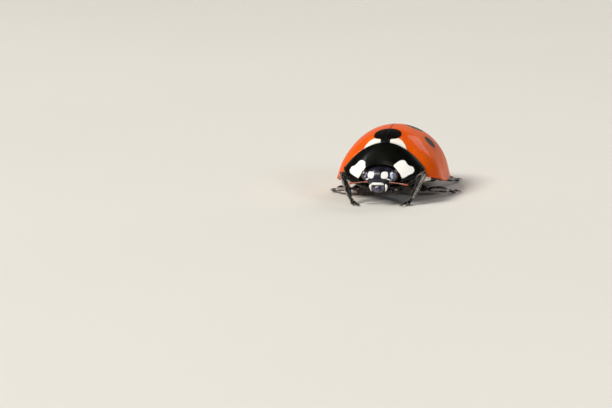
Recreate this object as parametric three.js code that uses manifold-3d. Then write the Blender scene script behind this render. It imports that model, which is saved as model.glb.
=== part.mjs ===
// A seven-spot ladybird, Coccinella septempunctata, at life size and standing still.
// Millimetres, +Z up, the floor at z = 0. The head points to -Y, and the animal's left side is at +X.
import * as THREE from "three";
import { mergeVertices } from "three/addons/utils/BufferGeometryUtils.js";
import Module from "manifold-3d";

const wasm = await Module();
wasm.setup();

// ---------------------------------------------------------------- driving dimensions
const frontY = -3.65; // front of the clypeus
const rearY = 3.65; // tips of the wing cases
const rimZ = 0.62; // height of the wing cases' outer rim above the floor, behind the shoulders
const gap = 0.04; // thin joint between neighbouring plates

const wingCase = {
  halfWidth: 2.68,
  height: 2.83, // from the rim to the top of the dome
  widestY: 0.45,
  highestY: 0.15,
  hiddenFrontY: -3.05, // where the oval of the back would close, under the head
  shoulderPower: 1.72, // below 2 the cross-section at the front is steeper, like a tent
  shoulderEndY: -0.5,
  thickness: 0.5,
  lipDepth: 0.06, // how far the rim's underside bulges below the rim
  baseY: -1.85, // front edge at the middle
  baseSweep: 0.09, // the front edge curves forward by this times x squared
  rimLevelY: 0.2, // in front of this the outer rim climbs towards the shoulders
  rimLift: 0.7, // how far it has climbed at shoulderY
  shoulderY: -2.2,
};

const belly = { inset: 0.55, rise: 0.33, drop: 0.13, thoraxEndY: 0.78 };

const pronotumPlate = {
  frontHalfWidth: 1.07,
  rearHalfWidth: 2.06,
  frontY: -2.9,
  cornerReach: 0.38, // the front corners stand this far forward of the middle
  frontRise: 1.28, // above the rim, at the middle of the front edge
  cornerRise: 0.64,
  hindCornerRise: 0.97,
  hindCornerLift: 0.13, // the hind corners stand this far proud of the wing cases
  rimThickness: 0.1,
};

const prothorax = { widthShare: 0.88, rise: 0.3, keel: 0.25 };

const headCapsule = { centre: [0, -2.88, rimZ + 0.68], radii: [0.9, 0.68, 0.52], chinShare: 0.66 };
const eye = { centre: [0.735, -3.08, rimZ + 0.84], radii: [0.25, 0.26, 0.29] };
const clypeus = { halfWidth: 0.49, bottomZ: rimZ + 0.42, height: 0.15, depth: 0.28, bow: 0.12 };
const labrum = { centre: [0, -3.44, rimZ + 0.22], radii: [0.35, 0.17, 0.18] };
const mandible = { centre: [0.46, -3.38, rimZ + 0.22], radii: [0.09, 0.16, 0.18] };

const scutellum = { halfWidth: 0.24, tipY: -1.42 };

// Joints from the body outwards. The left feelers are given, and the right ones mirror them.
const antennaPath = [
  [0.5, -3.28, rimZ + 0.55],
  [1.0, -3.42, rimZ + 0.52],
  [1.55, -3.38, rimZ + 0.44],
];
const palpPath = [
  [0.45, -3.15, rimZ + 0.06],
  [0.76, -3.34, rimZ + 0.05],
  [1.12, -3.4, rimZ + 0.04],
];
const antennaRadius = 0.22;
const palpRadius = 0.18;

const legs = {
  front_left: {
    coxa: [0.62, -2.35, rimZ + 0.14],
    hip: [0.8, -2.48, rimZ + 0.1],
    knee: [2.2, -2.8, rimZ + 0.88],
    ankle: [1.55, -3.06, 0.33],
    toe: [1.22, -3.46, 0.05],
  },
  front_right: {
    coxa: [-0.62, -2.35, rimZ + 0.14],
    hip: [-0.8, -2.48, rimZ + 0.1],
    knee: [-2.1, -2.72, rimZ + 0.86],
    ankle: [-1.62, -3.04, 0.33],
    toe: [-1.25, -3.42, 0.05],
  },
  middle_left: {
    coxa: [0.8, -0.75, rimZ + 0.14],
    hip: [0.95, -0.82, rimZ - 0.08],
    knee: [1.98, -1.3, rimZ - 0.22],
    ankle: [2.88, -0.66, 0.24],
    toe: [3.24, -0.22, 0.14],
  },
  middle_right: {
    coxa: [-0.8, -0.75, rimZ + 0.14],
    hip: [-0.95, -0.82, rimZ - 0.08],
    knee: [-1.98, -1.22, rimZ - 0.22],
    ankle: [-2.9, -0.5, 0.24],
    toe: [-3.24, -0.02, 0.14],
  },
  hind_left: {
    coxa: [0.85, 0.85, rimZ + 0.14],
    hip: [1.0, 0.92, rimZ - 0.08],
    knee: [1.98, 1.4, rimZ - 0.22],
    ankle: [2.68, 2.2, 0.24],
    toe: [2.84, 2.74, 0.14],
  },
  hind_right: {
    coxa: [-0.85, 0.85, rimZ + 0.14],
    hip: [-1.0, 0.92, rimZ - 0.08],
    knee: [-1.98, 1.3, rimZ - 0.22],
    ankle: [-2.74, 2.04, 0.24],
    toe: [-2.96, 2.56, 0.14],
  },
};
const coxaRadii = [0.4, 0.27, 0.25];
const femurRadius = 0.25;
const tibiaRadius = 0.22;
const tarsusRadius = 0.23;

const colours = {
  orange: 0xdf4a0c,
  black: 0x0d0d0f,
  ivory: 0xf3efe4,
  eyeGrey: 0x2b2d36,
  brown: 0x6a3a24,
};

// ---------------------------------------------------------------- solids
const mix = (a, b, share) => a + (b - a) * share;

// A closed geometry as a manifold-3d solid.
function solidOf(geometry) {
  const bare = new THREE.BufferGeometry();
  const flat = geometry.index ? geometry.toNonIndexed() : geometry;
  bare.setAttribute("position", flat.getAttribute("position"));
  const merged = mergeVertices(bare, 1e-4);
  const corners = merged.index.array;
  const kept = [];
  for (let i = 0; i < corners.length; i += 3) {
    const [a, b, c] = corners.slice(i, i + 3);
    if (a !== b && b !== c && c !== a) kept.push(a, b, c);
  }
  return new wasm.Manifold(
    new wasm.Mesh({
      numProp: 3,
      vertProperties: new Float32Array(merged.attributes.position.array),
      triVerts: new Uint32Array(kept),
    }),
  );
}

function geometryOf(solid) {
  const mesh = solid.getMesh();
  const geometry = new THREE.BufferGeometry();
  geometry.setAttribute("position", new THREE.BufferAttribute(mesh.vertProperties, mesh.numProp));
  geometry.setIndex(new THREE.BufferAttribute(mesh.triVerts, 1));
  return geometry;
}

// Moves every vertex of a closed three.js geometry to move(vertex).
function warped(geometry, move) {
  const place = geometry.getAttribute("position");
  const point = new THREE.Vector3();
  for (let i = 0; i < place.count; i += 1) {
    point.fromBufferAttribute(place, i);
    const to = move(point);
    place.setXYZ(i, to[0], to[1], to[2]);
  }
  return solidOf(geometry);
}

function box(low, high) {
  const size = high.map((value, axis) => value - low[axis]);
  const geometry = new THREE.BoxGeometry(...size);
  geometry.translate(...low.map((value, axis) => value + size[axis] / 2));
  return solidOf(geometry);
}

function ellipsoid(centre, radii, grow = 0, around = 14, along = 9) {
  const geometry = new THREE.SphereGeometry(1, around, along);
  geometry.scale(radii[0] + grow, radii[1] + grow, radii[2] + grow);
  geometry.translate(...centre);
  return solidOf(geometry);
}

// A flat shape in plan, extruded upwards.
function prism(outline, bottomZ, topZ) {
  const shape = new THREE.Shape(outline.map(([x, y]) => new THREE.Vector2(x, y)));
  const geometry = new THREE.ExtrudeGeometry(shape, { depth: topZ - bottomZ, bevelEnabled: false });
  geometry.translate(0, 0, bottomZ);
  return solidOf(geometry);
}

// A rounded limb from one joint to the next. Its radius runs from start through middle to end.
function limb(from, to, [start, middle, end], { grow = 0, height = 1, sides = 7 } = {}) {
  const a = new THREE.Vector3(...from);
  const run = new THREE.Vector3(...to).sub(a);
  const steps = 5;
  const profile = [];
  for (let i = 0; i <= steps; i += 1) {
    const share = (1 - Math.cos((Math.PI * i) / steps)) / 2;
    const radius = start * (1 - share) ** 2 + 2 * middle * share * (1 - share) + end * share ** 2;
    const cap = Math.sqrt(Math.max(0, 1 - Math.abs(2 * share - 1) ** 5));
    profile.push(new THREE.Vector2((radius + grow) * cap, share * (run.length() + 2 * grow) - grow));
  }
  const geometry = new THREE.LatheGeometry(profile, sides);
  const along = run.clone().normalize();
  const across = new THREE.Vector3().crossVectors(along, new THREE.Vector3(0, 0, 1)).normalize();
  const upward = new THREE.Vector3().crossVectors(across, along);
  geometry.scale(1, 1, height);
  geometry.applyMatrix4(new THREE.Matrix4().makeBasis(across, along, upward));
  geometry.translate(...from);
  const solid = solidOf(geometry);
  if (solid.volume() > 0) return solid;
  throw new Error("a limb is inside out");
}

// ---------------------------------------------------------------- the oval of the back
function arch(y, peakY, frontPower, rearPower) {
  const forward = y < peakY;
  const reach = forward ? peakY - wingCase.hiddenFrontY : rearY - peakY;
  const power = forward ? frontPower : rearPower;
  const share = Math.min(Math.abs(y - peakY) / reach, 1);
  return (1 - share ** power) ** (1 / power);
}

const widthAt = (y) => wingCase.halfWidth * arch(y, wingCase.widestY, 3.7, 2.2);
const heightAt = (y) => wingCase.height * arch(y, wingCase.highestY, 2.2, 2.1);

// The cross-section of the back is |x|^power + |z|^power = 1. It is an ellipse behind the shoulders.
function sectionPower(y) {
  const toMiddle = THREE.MathUtils.smoothstep(y, wingCase.baseY, wingCase.shoulderEndY);
  return mix(wingCase.shoulderPower, 2, toMiddle);
}

function domeZ(x, y) {
  const power = sectionPower(y);
  const share = Math.min(Math.abs(x) / widthAt(y), 1);
  return rimZ + heightAt(y) * (1 - share ** power) ** (1 / power);
}

// The front edge of the wing cases, and the hind edge of the pronotum.
const baseEdgeY = (x) => wingCase.baseY - wingCase.baseSweep * x ** 2;

// The body's oval, drawn in by inset. Below baseZ it is a shallow bowl of the depth drop.
function oval(inset, baseZ, drop, { rise = heightAt, around = 22, along = 12 } = {}) {
  const middleY = (wingCase.hiddenFrontY + rearY) / 2;
  const halfLength = (rearY - wingCase.hiddenFrontY) / 2;
  const shrinkX = 1 - inset / wingCase.halfWidth;
  const shrinkY = 1 - inset / halfLength;
  const shrinkZ = 1 - inset / wingCase.height;
  return warped(new THREE.SphereGeometry(1, around, along), (point) => {
    const y = middleY + halfLength * point.y;
    const reach = Math.hypot(point.x, point.z) || 1;
    const bend = 2 / sectionPower(y);
    const width = widthAt(y);
    const up = point.z > 0 ? shrinkZ * rise(y) : (drop * width) / wingCase.halfWidth;
    return [
      shrinkX * width * Math.sign(point.x) * Math.abs(point.x / reach) ** bend,
      middleY + shrinkY * halfLength * point.y,
      baseZ + up * Math.sign(point.z) * Math.abs(point.z / reach) ** bend,
    ];
  });
}

// Everything in front of the wing cases' front edge, moved back by clearance.
function frontCutter(clearance) {
  const steps = 16;
  const reach = 3.2;
  const outline = [];
  for (let i = 0; i <= steps; i += 1) {
    const x = mix(reach, -reach, i / steps);
    outline.push([x, baseEdgeY(x) + clearance]);
  }
  return prism([...outline, [-reach, frontY - 1], [reach, frontY - 1]], -1, 5);
}

// The height of the outer rim. It climbs in front to meet the pronotum's hind corners.
function rimAt(y) {
  const climbed = Math.max((wingCase.rimLevelY - y) / (wingCase.rimLevelY - wingCase.shoulderY), 0);
  return rimZ + wingCase.rimLift * climbed ** 1.5;
}

// Everything under the climbing part of the rim.
function rimCutter() {
  const steps = 9;
  const outline = [[frontY, -1], [wingCase.rimLevelY, -1]];
  for (let i = 0; i <= steps; i += 1) {
    const y = mix(wingCase.rimLevelY, wingCase.hiddenFrontY, i / steps);
    outline.push([y, rimAt(y) - wingCase.lipDepth]);
  }
  outline.push([frontY, rimAt(wingCase.hiddenFrontY)]);
  const shape = new THREE.Shape(outline.map(([y, z]) => new THREE.Vector2(y, z)));
  const reach = 2 * wingCase.halfWidth;
  const geometry = new THREE.ExtrudeGeometry(shape, { depth: 2 * reach, bevelEnabled: false });
  geometry.translate(0, 0, -reach);
  const [x, y, z] = [new THREE.Vector3(1, 0, 0), new THREE.Vector3(0, 1, 0), new THREE.Vector3(0, 0, 1)];
  geometry.applyMatrix4(new THREE.Matrix4().makeBasis(y, z, x));
  return solidOf(geometry);
}

function scutellumPrism(grow) {
  const half = scutellum.halfWidth + grow * 1.6;
  const outline = [
    [-half, wingCase.baseY - 0.2],
    [half, wingCase.baseY - 0.2],
    [half, wingCase.baseY + 0.1],
    [0, scutellum.tipY + grow * 2],
    [-half, wingCase.baseY + 0.1],
  ];
  return prism(outline, rimZ + 1, 5);
}

// ---------------------------------------------------------------- plates warped from a box
// The box's top and bottom are surfaces over s, across from -1 to 1, and t, back from 0 to 1.
function plate(across, back, top, bottom) {
  const geometry = new THREE.BoxGeometry(2, 1, 1, across, back, 1);
  return warped(geometry, (point) => {
    const surface = point.z > 0 ? top : bottom;
    return surface(point.x, point.y + 0.5);
  });
}

const pronotumHalfWidth = (t) => {
  const spread = Math.sin((t * Math.PI) / 2) ** 0.85;
  return mix(pronotumPlate.frontHalfWidth, pronotumPlate.rearHalfWidth, spread);
};
const climb = (t) => 0.55 * t + 0.45 * (1 - (1 - t) ** 2);

function pronotumPlan(s, t) {
  const rearX = s * pronotumPlate.rearHalfWidth;
  const front = pronotumPlate.frontY - pronotumPlate.cornerReach * s ** 2;
  return [s * pronotumHalfWidth(t), mix(front, baseEdgeY(rearX), t)];
}

function pronotumTop(s, t) {
  const [x, y] = pronotumPlan(s, t);
  const rearX = s * pronotumPlate.rearHalfWidth;
  const crown = (1 - Math.abs(s) ** 3) ** 0.6;
  const frontZ = rimZ + mix(pronotumPlate.cornerRise, pronotumPlate.frontRise, crown);
  const rearZ = domeZ(rearX, baseEdgeY(rearX)) + pronotumPlate.hindCornerLift * s ** 4;
  return [x, y, mix(frontZ, rearZ, climb(t))];
}

const pronotumUnderZ = (t) =>
  rimZ + mix(pronotumPlate.cornerRise, pronotumPlate.hindCornerRise, climb(t)) - pronotumPlate.rimThickness;

function pronotumCap(grow) {
  const bottom = (s, t) => [...pronotumPlan(s, t), pronotumUnderZ(t) - grow];
  return plate(16, 6, pronotumTop, bottom);
}

function prothoraxBlock() {
  const plan = (s, t) => {
    const [x, y] = pronotumPlan(s, t);
    return [x * prothorax.widthShare, y];
  };
  const top = (s, t) => [...plan(s, t), pronotumUnderZ(t) - gap];
  const bottom = (s, t) => [...plan(s, t), rimZ + prothorax.rise + prothorax.keel * s ** 2 - 0.05 * Math.sin(t * Math.PI)];
  return plate(8, 3, top, bottom);
}

// ---------------------------------------------------------------- head
function headSolid(grow) {
  const [cx, cy, cz] = headCapsule.centre;
  const [rx, ry, rz] = headCapsule.radii.map((radius) => radius + grow);
  return warped(new THREE.SphereGeometry(1, 16, 10), (point) => {
    const low = THREE.MathUtils.smoothstep(-point.z, -0.3, 0.9);
    const narrow = mix(1, headCapsule.chinShare, low);
    return [cx + rx * point.x * narrow, cy + ry * point.y, cz + rz * point.z];
  });
}

function clypeusBar(grow) {
  const steps = 8;
  const half = clypeus.halfWidth + grow;
  const front = [];
  const back = [];
  for (let i = 0; i <= steps; i += 1) {
    const x = mix(-half, half, i / steps);
    const bow = clypeus.bow * (x / half) ** 2;
    front.push([x, frontY - grow + bow]);
    back.unshift([x, frontY + clypeus.depth + grow + bow]);
  }
  return prism([...front, ...back], clypeus.bottomZ - grow, clypeus.bottomZ + clypeus.height + grow);
}

const mirrored = (point, side) => [point[0] * side, point[1], point[2]];

// Limbs from joint to joint, with a ball in each joint between them.
function chain(path, side, radii, options) {
  const places = path.map((point) => mirrored(point, side));
  const pieces = places.slice(1).map((to, i) => limb(places[i], to, radii[i], options));
  const balls = places.slice(1, -1).map((joint, i) => {
    const radius = radii[i][2] * 0.96;
    return ellipsoid(joint, [radius, radius, radius], options.grow, 8, 5);
  });
  return [...pieces, ...balls].reduce((whole, piece) => whole.add(piece));
}

function antennaSolid(side, grow = 0) {
  const r = antennaRadius;
  return chain(antennaPath, side, [[r, r, r * 0.95], [r * 0.95, r, r * 1.15]], { grow });
}

function palpSolid(side, grow = 0) {
  const r = palpRadius;
  return chain(palpPath, side, [[r * 0.9, r, r * 0.9], [r * 0.9, r * 1.2, r * 1.2]], { grow });
}

// ---------------------------------------------------------------- scene
const model = new THREE.Group();

function finish(hex) {
  return new THREE.MeshStandardMaterial({ color: hex, roughness: 0.25, metalness: 0 });
}

// Adds a solid as a mesh whose own origin is at pivot.
function place(group, name, solid, pivot, hex) {
  const geometry = geometryOf(solid);
  geometry.translate(-pivot[0], -pivot[1], -pivot[2]);
  const mesh = new THREE.Mesh(geometry, finish(hex));
  mesh.name = name;
  mesh.position.set(...pivot);
  group.add(mesh);
}

const sides = [
  ["left", 1],
  ["right", -1],
];

// Solids that more than one piece is cut by.
const head = headSolid(0);
const headSpace = headSolid(gap);
const capSpace = pronotumCap(gap);
const eyeSpace = ([, side], grow) => ellipsoid(mirrored(eye.centre, side), eye.radii, grow);
const coxaOf = (leg, grow = 0) => ellipsoid(leg.coxa, coxaRadii, grow, 10, 7);
function femurOf(leg, grow = 0) {
  const radii = [femurRadius * 0.8, femurRadius * 1.1, femurRadius * 0.85];
  return limb(leg.hip, leg.knee, radii, { grow, height: 0.8 });
}
function tibiaOf(leg, grow = 0) {
  return limb(leg.knee, leg.ankle, [tibiaRadius * 0.9, tibiaRadius, tibiaRadius * 0.95], { grow });
}

function addBack() {
  const back = new THREE.Group();
  const fine = { around: 28, along: 18 };
  const outer = oval(0, rimZ, wingCase.lipDepth, fine);
  const hollow = oval(wingCase.thickness, rimZ, 1.5, { along: 14 });
  const shell = outer.subtract(hollow).subtract(frontCutter(gap)).subtract(rimCutter());
  const wedge = scutellumPrism(0);
  place(back, "scutellum", shell.intersect(wedge), [0, wingCase.baseY, rimZ], colours.black);
  const cover = shell.subtract(scutellumPrism(gap));
  for (const [sideName, side] of sides) {
    const half = side > 0 ? box([gap / 2, -5, -1], [5, 5, 5]) : box([-5, -5, -1], [-gap / 2, 5, 5]);
    const pivot = [side * 0.3, wingCase.baseY, rimZ];
    place(back, "elytron_" + sideName, cover.intersect(half), pivot, colours.orange);
  }
  model.add(back);
}

function addTrunk() {
  const trunk = new THREE.Group();
  const tall = () => 20;
  const bowl = oval(belly.inset, rimZ + belly.rise, belly.drop, { rise: tall });
  let core = oval(belly.inset, rimZ, 1.5).intersect(bowl).subtract(frontCutter(gap));
  let under = prothoraxBlock().subtract(headSpace);
  for (const [row, leg] of Object.entries(legs)) {
    const room = coxaOf(leg, gap).add(femurOf(leg, gap));
    if (row.startsWith("front")) under = under.subtract(room);
    else core = core.subtract(room);
  }
  const split = belly.thoraxEndY;
  const thorax = core.intersect(box([-5, -5, -1], [5, split - gap / 2, 5]));
  const abdomen = core.intersect(box([-5, split + gap / 2, -1], [5, 5, 5]));
  let cap = pronotumCap(0).subtract(headSpace);
  for (const side of sides) {
    cap = cap.subtract(eyeSpace(side, gap));
    under = under.subtract(eyeSpace(side, gap));
  }
  place(trunk, "pronotum", cap, [0, wingCase.baseY, rimZ], colours.black);
  place(trunk, "prosternum", under, [0, wingCase.baseY, rimZ], colours.black);
  place(trunk, "thorax", thorax, [0, split, rimZ], colours.black);
  place(trunk, "abdomen", abdomen, [0, split, rimZ], colours.black);
  model.add(trunk);
}

function addHead() {
  const group = new THREE.Group();
  const labrumSpace = ellipsoid(labrum.centre, labrum.radii, gap);
  let skull = head.subtract(clypeusBar(gap)).subtract(labrumSpace);
  for (const side of sides) {
    const [sideName, sign] = side;
    const jaw = mirrored(mandible.centre, sign);
    const feelerRoot = mirrored(antennaPath[0], sign);
    const palpRoot = mirrored(palpPath[0], sign);
    skull = skull.subtract(eyeSpace(side, gap)).subtract(ellipsoid(jaw, mandible.radii, gap));
    const feeler = antennaSolid(sign).subtract(eyeSpace(side, gap)).subtract(clypeusBar(gap));
    const palp = palpSolid(sign).subtract(ellipsoid(jaw, mandible.radii, gap));
    const jawSolid = ellipsoid(jaw, mandible.radii, 0, 10, 7).subtract(labrumSpace).subtract(clypeusBar(gap));
    skull = skull.subtract(antennaSolid(sign, gap)).subtract(palpSolid(sign, gap));
    place(group, "eye_" + sideName, eyeSpace(side, 0), mirrored(eye.centre, sign), colours.eyeGrey);
    place(group, "antenna_" + sideName, feeler, feelerRoot, colours.brown);
    place(group, "palp_" + sideName, palp, palpRoot, colours.black);
    place(group, "mandible_" + sideName, jawSolid, jaw, colours.ivory);
  }
  place(group, "head", skull, headCapsule.centre, colours.black);
  place(group, "clypeus", clypeusBar(0), [0, frontY, clypeus.bottomZ], colours.ivory);
  place(group, "labrum", ellipsoid(labrum.centre, labrum.radii), labrum.centre, colours.black);
  model.add(group);
}

function addLegs() {
  const aboveFloor = box([-6, -6, 0], [6, 6, 6]);
  const pad = [tarsusRadius * 0.8, tarsusRadius, tarsusRadius];
  for (const [label, leg] of Object.entries(legs)) {
    const group = new THREE.Group();
    const femur = femurOf(leg).subtract(coxaOf(leg, gap)).subtract(capSpace);
    const tibia = tibiaOf(leg).subtract(femurOf(leg, gap)).subtract(capSpace);
    const tarsus = limb(leg.ankle, leg.toe, pad).intersect(aboveFloor).subtract(tibiaOf(leg, gap));
    place(group, "coxa_" + label, coxaOf(leg), leg.coxa, colours.black);
    place(group, "femur_" + label, femur, leg.hip, colours.black);
    place(group, "tibia_" + label, tibia, leg.knee, colours.black);
    place(group, "tarsus_" + label, tarsus, leg.ankle, colours.black);
    model.add(group);
  }
}

addBack();
addTrunk();
addHead();
addLegs();

export default model;
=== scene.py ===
import math
import random

import bmesh
import bpy
from mathutils import Matrix, Vector


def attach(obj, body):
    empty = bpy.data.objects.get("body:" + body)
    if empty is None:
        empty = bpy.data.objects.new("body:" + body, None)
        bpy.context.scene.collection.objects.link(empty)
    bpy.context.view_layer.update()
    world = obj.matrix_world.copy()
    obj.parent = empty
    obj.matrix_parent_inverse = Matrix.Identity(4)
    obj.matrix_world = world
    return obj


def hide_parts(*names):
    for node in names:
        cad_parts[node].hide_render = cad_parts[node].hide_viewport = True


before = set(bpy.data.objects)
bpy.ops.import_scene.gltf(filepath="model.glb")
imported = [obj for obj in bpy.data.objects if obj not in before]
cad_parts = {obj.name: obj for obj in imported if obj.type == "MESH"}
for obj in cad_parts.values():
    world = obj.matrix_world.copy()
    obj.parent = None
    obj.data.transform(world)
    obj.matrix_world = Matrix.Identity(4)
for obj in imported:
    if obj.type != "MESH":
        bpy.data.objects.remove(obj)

random.seed(7)
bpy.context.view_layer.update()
scene = bpy.context.scene
mm = 0.001
sides = (("left", 1), ("right", -1))      # each side's name, and the sign of its x

# the same few sizes as the solids, in millimetres; the head points to -Y, the floor is z = 0
back = {
    "rimZ": 0.62, "height": 2.83, "halfWidth": 2.68,
    "widestY": 0.45, "highestY": 0.15, "hiddenFrontY": -3.05, "rearY": 3.65,
    "shoulderPower": 1.85, "shoulderEndY": -0.5,
    "baseY": -1.85, "baseSweep": 0.09,
    "rimLevelY": 0.2, "rimLift": 0.7, "shoulderY": -2.2,
}
rimZ = back["rimZ"]


def mix(a, b, share):
    return a + (b - a) * share


def smooth(low, high, value):
    share = min(max((value - low) / (high - low), 0), 1)
    return share * share * (3 - 2 * share)


def arch(y, peakY, frontPower, rearPower):
    forward = y < peakY
    reach = peakY - back["hiddenFrontY"] if forward else back["rearY"] - peakY
    power = frontPower if forward else rearPower
    share = min(abs(y - peakY) / reach, 1)
    return (1 - share ** power) ** (1 / power)


def widthAt(y):
    return back["halfWidth"] * arch(y, back["widestY"], 3.7, 2.2)


def heightAt(y):
    return back["height"] * arch(y, back["highestY"], 2.2, 2.1)


def sectionPower(y):
    return mix(back["shoulderPower"], 2, smooth(back["baseY"], back["shoulderEndY"], y))


def domeZ(x, y):
    power = sectionPower(y)
    share = min(abs(x) / max(widthAt(y), 1e-6), 1)
    return rimZ + heightAt(y) * (1 - share ** power) ** (1 / power)


def baseEdgeY(x):
    return back["baseY"] - back["baseSweep"] * x * x


def rimAt(y):
    # the outer rim climbs towards the shoulders
    climbed = max((back["rimLevelY"] - y) / (back["rimLevelY"] - back["shoulderY"]), 0)
    return rimZ + back["rimLift"] * climbed ** 1.5


def rimAngle(y):
    # how far round the cross-section the rim lies: a right angle where it is level
    height = heightAt(y)
    if height < 1e-4:
        return math.pi / 2
    share = min((rimAt(y) - rimZ) / height, 0.999)
    return math.acos(share ** (sectionPower(y) / 2))


def rimX(y):
    return widthAt(y) * math.sin(rimAngle(y)) ** (2 / sectionPower(y))


# ---- camera and light

cameraSetup = {
    "turn": 12.5,              # degrees to the animal's left
    "rise": 10.0,              # degrees above it
    "roll": 2.3,               # the animal's left side stands a little higher
    "distance": 85.0,          # mm to the middle of the pronotum's hind edge
    "lens": 100.0, "sensor": 36.0,
    "target": (0.0, -1.85, 2.92),
    "targetPixel": (384.9, 142.1), "pixels": (612, 408),
}


def placeCamera(setup):
    turn, rise, roll = (math.radians(setup[key]) for key in ("turn", "rise", "roll"))
    target = Vector(setup["target"]) * mm
    outward = Vector((math.sin(turn) * math.cos(rise), -math.cos(turn) * math.cos(rise), math.sin(rise)))
    level = Vector((math.cos(turn), math.sin(turn), 0))
    across = level * math.cos(roll) - level.cross(-outward) * math.sin(roll)
    upward = across.cross(-outward)
    wide, high = setup["pixels"]
    perPixel = setup["distance"] * mm * setup["sensor"] / setup["lens"] / wide
    x, y = setup["targetPixel"]
    place = target + outward * setup["distance"] * mm
    aim = target - across * (x - wide / 2) * perPixel + upward * (y - high / 2) * perPixel
    backward = (place - aim).normalized()
    right = upward.cross(backward).normalized()
    data = bpy.data.cameras.new("camera")
    data.lens, data.sensor_width = setup["lens"], setup["sensor"]
    data.clip_start, data.clip_end = 0.001, 10
    camera = bpy.data.objects.new("camera", data)
    camera.matrix_world = Matrix.LocRotScale(
        place, Matrix((right, backward.cross(right), backward)).transposed().to_quaternion(), None)
    scene.collection.objects.link(camera)
    scene.camera = camera


placeCamera(cameraSetup)

# soft boxes round the table, in millimetres and watts
lamps = {
    "key": {"at": (-320, -260, 430), "size": 230, "power": 3.4, "colour": "#fffaf2"},
    "fill": {"at": (460, -330, 230), "size": 110, "power": 0.8, "colour": "#eef4ff"},
    "rim": {"at": (240, 420, 360), "size": 240, "power": 0.6, "colour": "#ffffff"},
    "spark": {"at": (-302, 8, 519), "size": 26, "power": 0.3, "colour": "#ffffff"},
}


def hexColour(code):
    parts = [int(code[i:i + 2], 16) / 255 for i in (1, 3, 5)]
    return [c / 12.92 if c <= 0.04045 else ((c + 0.055) / 1.055) ** 2.4 for c in parts] + [1.0]


def placeLamps(setup):
    for name, lamp in setup.items():
        data = bpy.data.lights.new(name, "AREA")
        data.shape, data.size = "SQUARE", lamp["size"] * mm
        data.energy, data.color = lamp["power"], hexColour(lamp["colour"])[:3]
        light = bpy.data.objects.new(name, data)
        light.location = Vector(lamp["at"]) * mm
        aim = Vector((0, 0, 1.5)) * mm
        light.rotation_euler = (aim - light.location).to_track_quat("-Z", "Y").to_euler()
        scene.collection.objects.link(light)


placeLamps(lamps)
scene.view_settings.view_transform = "Standard"
print("camera and lamps placed")


# ---- nodes and materials

def feed(node, inputs):
    # inputs are values, sockets or nodes, by name or in order; a node gives its first output in use
    for key, value in inputs.items() if isinstance(inputs, dict) else enumerate(inputs):
        if isinstance(value, bpy.types.Node):
            value = next(socket for socket in value.outputs if socket.enabled)
        if isinstance(value, bpy.types.NodeSocket):
            node.id_data.links.new(value, node.inputs[key])
        else:
            node.inputs[key].default_value = value


def addNode(tree, kind, inputs=(), **settings):
    node = tree.nodes.new("ShaderNode" + kind)
    for key, value in settings.items():
        setattr(node, key, value)
    feed(node, inputs)
    return node


def newMaterial(name):
    # gives the material's tree, its shader and the place on the object too
    material = bpy.data.materials.new(name)
    material.use_nodes = True
    tree = material.node_tree
    return material, tree, tree.nodes["Principled BSDF"], addNode(tree, "TexCoord").outputs["Object"]


def layer(tree, under, over, value, empty, full, most=1.0, fade="SMOOTHSTEP"):
    # over covers under more and more as value runs from empty to full
    share = addNode(tree, "MapRange", {"Value": value, "From Min": empty, "From Max": full, "To Max": most},
                    interpolation_type=fade)
    return addNode(tree, "Mix", {"Factor": share, "A": under, "B": over}, data_type="RGBA")


def roughened(tree, value, place, grain, reach, detail=5):
    # a distance that wavers by reach in all, with a grain in millimetres, so a patch gets a natural edge
    noise = addNode(tree, "TexNoise", {"Vector": place, "Scale": 1 / (grain * mm), "Detail": detail})
    waver = addNode(tree, "Math", (noise, 0.5), operation="SUBTRACT")
    return addNode(tree, "Math", (waver, reach, value), operation="MULTIPLY_ADD")


def relief(tree, place, grain, swell, detail=4, spacing=None, depth=0.0):
    # gentle swells, and small round pits like the punctures of a beetle's cuticle; all in millimetres
    pits = 0.0
    if spacing:
        cells = addNode(tree, "TexVoronoi", {"Vector": place, "Scale": 1 / (spacing * mm),
                                             "Randomness": 0.75})
        pits = addNode(tree, "MapRange", {"Value": cells, "From Min": 0.05, "From Max": 0.38,
                                          "To Min": -depth * mm, "To Max": 0.0},
                       interpolation_type="SMOOTHSTEP")
    swells = addNode(tree, "TexNoise", {"Vector": place, "Scale": 1 / (grain * mm), "Detail": detail})
    height = addNode(tree, "Math", (swells, swell * mm, pits), operation="MULTIPLY_ADD")
    return addNode(tree, "Bump", {"Height": height, "Distance": 1.0})


def foldedPlace(tree, place):
    # x made positive, so one set of centres serves both sides
    mirrored = addNode(tree, "VectorMath", (place, (-1, 1, 1)), operation="MULTIPLY")
    return addNode(tree, "VectorMath", (place, mirrored), operation="MAXIMUM")


def patchReach(tree, place, centre, radii, power=2, tilt=0):
    # how far out a place lies in a rounded patch: 1 on its edge, less inside it; tilt is in degrees
    stand = {"Location": Vector(centre) * mm, "Scale": Vector(radii) * mm,
             "Rotation": (0, math.radians(tilt), 0)}
    own = addNode(tree, "Mapping", {"Vector": place, **stand}, vector_type="TEXTURE")
    size = addNode(tree, "VectorMath", (own,), operation="ABSOLUTE")
    raised = addNode(tree, "VectorMath", (size, (power, power, power)), operation="POWER")
    total = addNode(tree, "VectorMath", (raised, (1, 1, 1)), operation="DOT_PRODUCT")
    return addNode(tree, "Math", (total, 1 / power), operation="POWER")


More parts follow.
